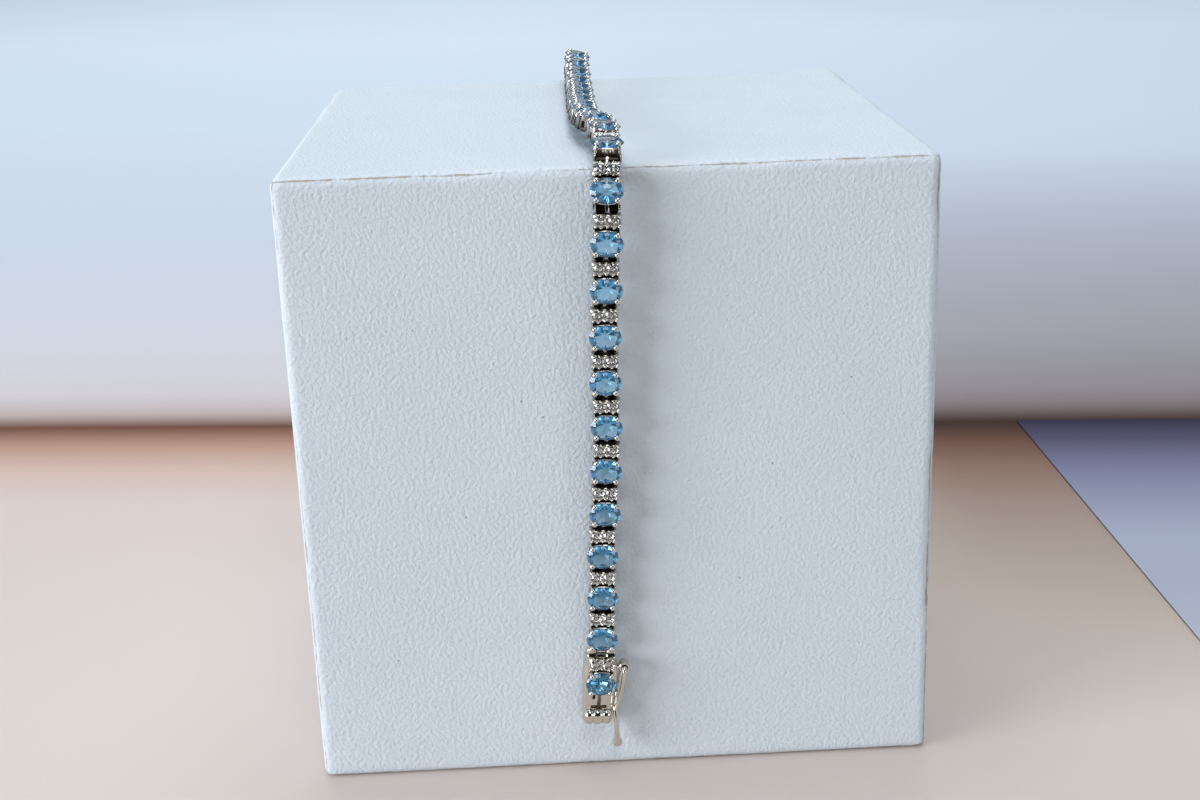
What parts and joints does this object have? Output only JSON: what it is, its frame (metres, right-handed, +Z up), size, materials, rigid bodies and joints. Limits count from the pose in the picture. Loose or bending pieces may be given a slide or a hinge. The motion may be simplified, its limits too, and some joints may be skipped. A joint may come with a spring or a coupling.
{
  "type": "tennis bracelet on a display block",
  "caption": "Open line bracelet of oval pale blue stones and small diamond bars in white metal, hung over a white cube block, with a box clasp and a swinging safety catch.",
  "frame": {"origin": "middle of the block's underside, on the surface that it stands on", "axes": "+Z up, +X to the right as seen from the front, -Y towards the viewer in front of the face that carries the clasp"},
  "size_m": [0.08, 0.0854, 0.0854],
  "materials": {
    "plaster": "white, fine pebbled, matt",
    "white_gold": "polished white metal",
    "topaz": "faceted pale blue stone"
  },
  "bodies": {
    "bracelet": {"display_block": "plaster", "chain_front": "white_gold", "chain_rear": "white_gold", "clasp_box": "white_gold", "clasp_tongue": "white_gold", "topaz_01": "topaz", "topaz_02": "topaz", "topaz_03": "topaz", "topaz_04": "topaz", "topaz_05": "topaz", "topaz_06": "topaz", "topaz_07": "topaz", "topaz_08": "topaz", "topaz_09": "topaz", "topaz_10": "topaz", "topaz_11": "topaz", "topaz_12": "topaz", "topaz_13": "topaz", "topaz_14": "topaz", "topaz_15": "topaz", "topaz_16": "topaz", "topaz_17": "topaz", "topaz_18": "topaz", "topaz_19": "topaz", "topaz_20": "topaz", "topaz_21": "topaz", "topaz_22": "topaz", "topaz_23": "topaz", "topaz_24": "topaz", "topaz_25": "topaz", "topaz_26": "topaz", "topaz_27": "topaz", "topaz_28": "topaz", "topaz_29": "topaz", "topaz_30": "topaz", "topaz_31": "topaz"},
    "lever": {"safety_lever": "white_gold"}
  },
  "joints": [
    {"name": "safety_lever_hinge", "type": "hinge", "parent": "bracelet", "child": "lever", "pos_m": [-0.00003, -0.03927, 0.01548], "axis": [0.0027, -0.9997, 0.026], "range_deg": [0, 95]}
  ]
}
